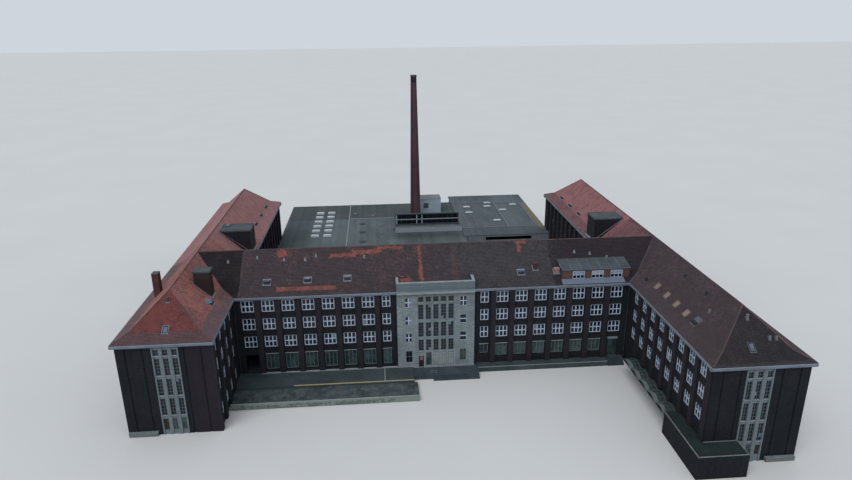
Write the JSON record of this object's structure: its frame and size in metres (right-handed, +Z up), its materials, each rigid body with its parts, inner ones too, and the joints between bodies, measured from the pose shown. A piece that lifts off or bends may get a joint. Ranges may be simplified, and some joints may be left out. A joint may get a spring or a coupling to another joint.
{
  "type": "factory building, 1:10 scale model",
  "caption": "Brick factory on an H plan with a stone middle front, tiled hipped roofs, loading decks and a rear hall with a tall chimney, as a 1:10 scale model",
  "frame": {"origin": "on the ground under the middle of the bounding box", "axes": "+X to the right seen from the front, +Y to the rear, +Z up"},
  "size_m": [11.472, 14.7, 5.35],
  "materials": {
    "brick": "dark brown-red clinker brick, matt",
    "chimney_brick": "weathered red-brown brick, matt",
    "sandstone": "weathered grey-yellow sandstone, matt",
    "concrete": "worn concrete, matt",
    "render_wall": "pale dirty render, matt",
    "roof_tile": "weathered clay tiles with patches, matt",
    "roof_felt": "grey roofing felt with dirt streaks",
    "gutter_metal": "pale grey painted box gutter",
    "window_glass": "dark dusty window glass",
    "dark_door": "dark brown painted boards",
    "green_door": "grey-green painted door",
    "rail_metal": "dark painted rails",
    "canopy_sheet": "pale ribbed sheet",
    "dormer_metal": "weathered grey-green sheet",
    "hatch_metal": "weathered pale sheet",
    "rooflight_sheet": "dirty white translucent sheet"
  },
  "bodies": {
    "building": {"front_upper_walls": "brick", "front_ground_walls": "brick", "door_surrounds": "sandstone", "rear_walls": "brick", "stone_fronts": "sandstone", "stone_bases": "sandstone", "wing_inner_walls": "brick", "wing_outer_walls": "brick", "wing_front_walls": "brick", "block_floors": "concrete", "wing_floors": "concrete", "front_pilasters": "brick", "wing_pilasters": "brick", "cornice_ends": "gutter_metal", "cornice_sides": "gutter_metal", "roof_left_slopes": "roof_tile", "roof_right_slopes": "roof_tile", "roof_front_slopes": "roof_tile", "roof_rear_slopes": "roof_tile", "stone_attic": "sandstone", "front_glass": "window_glass", "wing_glass": "window_glass", "strip_glass": "window_glass", "loading_docks": "concrete", "outside_steps": "sandstone", "terrace": "brick", "railings": "rail_metal", "loading_canopy": "canopy_sheet", "hall_side_walls": "render_wall", "hall_end_walls": "render_wall", "hall_roof": "roof_felt", "far_hall_roof": "roof_felt", "clerestory": "render_wall", "plant_room": "render_wall", "hall_rooflights": "rooflight_sheet", "chimney": "chimney_brick", "long_dormer": "dormer_metal", "stair_heads": "dormer_metal", "roof_hatches": "hatch_metal"},
    "stone_front_leaf": {"stone_front_door": "dark_door"},
    "entrance_leaf_left": {"entrance_door_left": "green_door"},
    "entrance_leaf_right": {"entrance_door_right": "green_door"},
    "left_wing_leaf": {"left_wing_door": "dark_door"},
    "right_wing_leaf": {"right_wing_door": "dark_door"}
  },
  "joints": [
    {"name": "stone_front_door_hinge", "type": "hinge", "parent": "building", "child": "stone_front_leaf", "pos_m": [-0.3515, -3.5335, 0], "axis": [0, 0, 1], "range_deg": [-90, 0]},
    {"name": "entrance_left_hinge", "type": "hinge", "parent": "building", "child": "entrance_leaf_left", "pos_m": [3.676, -3.4835, 0], "axis": [0, 0, 1], "range_deg": [-90, 0]},
    {"name": "entrance_right_hinge", "type": "hinge", "parent": "building", "child": "entrance_leaf_right", "pos_m": [3.872, -3.4835, 0], "axis": [0, 0, 1], "range_deg": [0, 90]},
    {"name": "left_wing_door_hinge", "type": "hinge", "parent": "building", "child": "left_wing_leaf", "pos_m": [-5.034, -5.3025, 0], "axis": [0, 0, 1], "range_deg": [-90, 0]},
    {"name": "right_wing_door_hinge", "type": "hinge", "parent": "building", "child": "right_wing_leaf", "pos_m": [5.034, -6.9575, 0], "axis": [0, 0, 1], "range_deg": [0, 90]}
  ]
}
